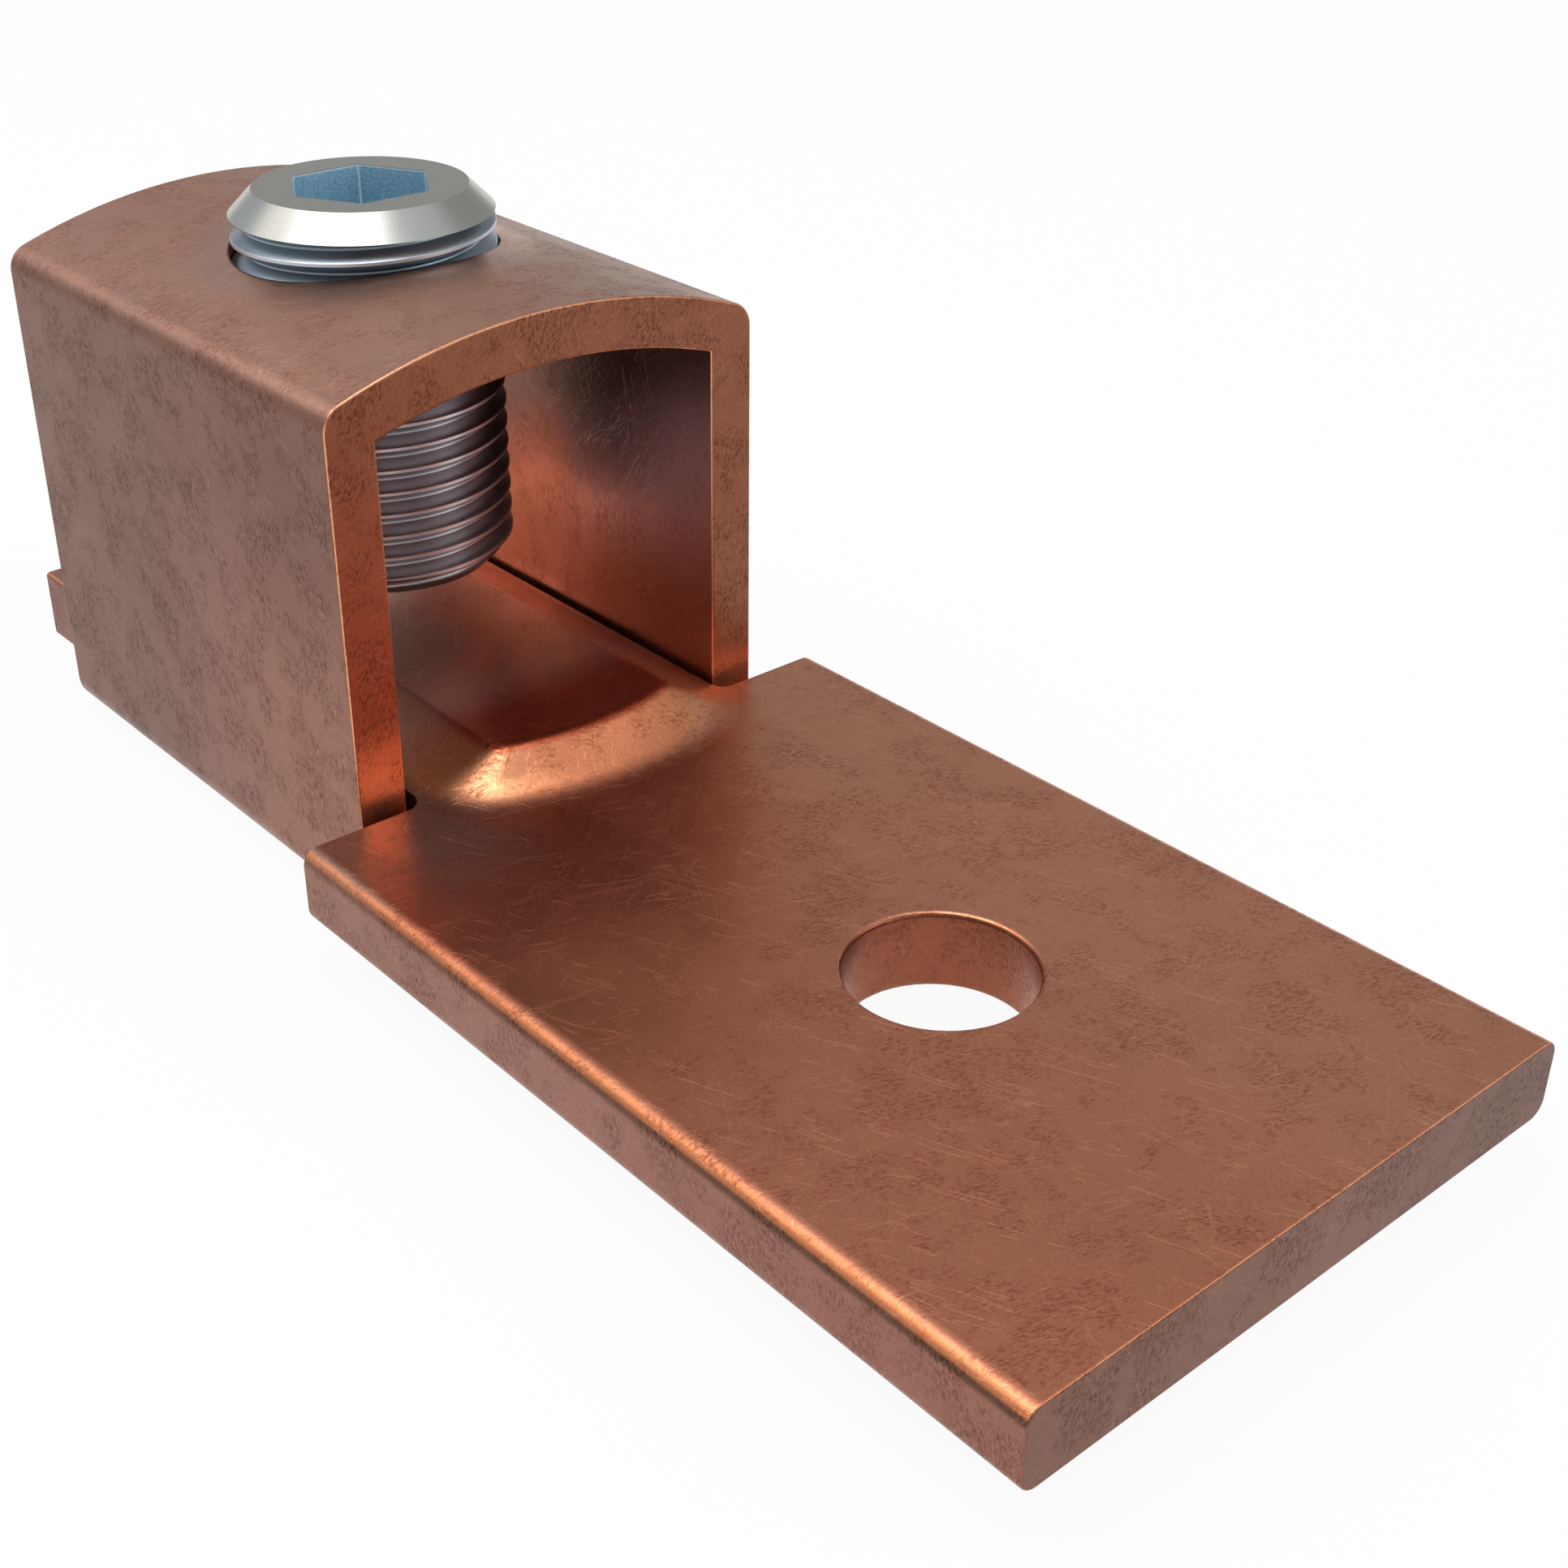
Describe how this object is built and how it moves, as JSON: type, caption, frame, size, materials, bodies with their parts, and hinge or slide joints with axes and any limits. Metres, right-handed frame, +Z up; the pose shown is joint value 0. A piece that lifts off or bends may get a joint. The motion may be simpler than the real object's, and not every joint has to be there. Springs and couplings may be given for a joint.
{
  "type": "mechanical lug",
  "caption": "Set-screw cable lug: flat copper tang with a bolt hole and raised saddle, a box collar with an arched top, and a socket set screw that clamps the cable.",
  "frame": {"origin": "centre of the bolt hole on the tang's flat underside, which is the face that is bolted down", "axes": "+X along the tang to its bolted end, away from the cable; +Y across the tang; +Z up out of the underside, along the bolt hole and the set screw, towards the screw's head end"},
  "size_m": [0.0988, 0.0382, 0.0375],
  "materials": {
    "tang_copper": "bare copper, dulled, with fine dark smudges and hairline scratches",
    "collar_copper": "bare copper, dulled, with fine dark smudges and hairline scratches",
    "screw_steel": "bright zinc plate, turned and threaded"
  },
  "bodies": {
    "lug": {"tang": "tang_copper", "collar": "collar_copper"},
    "screw": {"set_screw": "screw_steel"}
  },
  "joints": [
    {"name": "screw_travel", "type": "slide", "parent": "lug", "child": "screw", "axis": [0, 0, 1], "range_m": [-0.0036, 0.0176]}
  ]
}
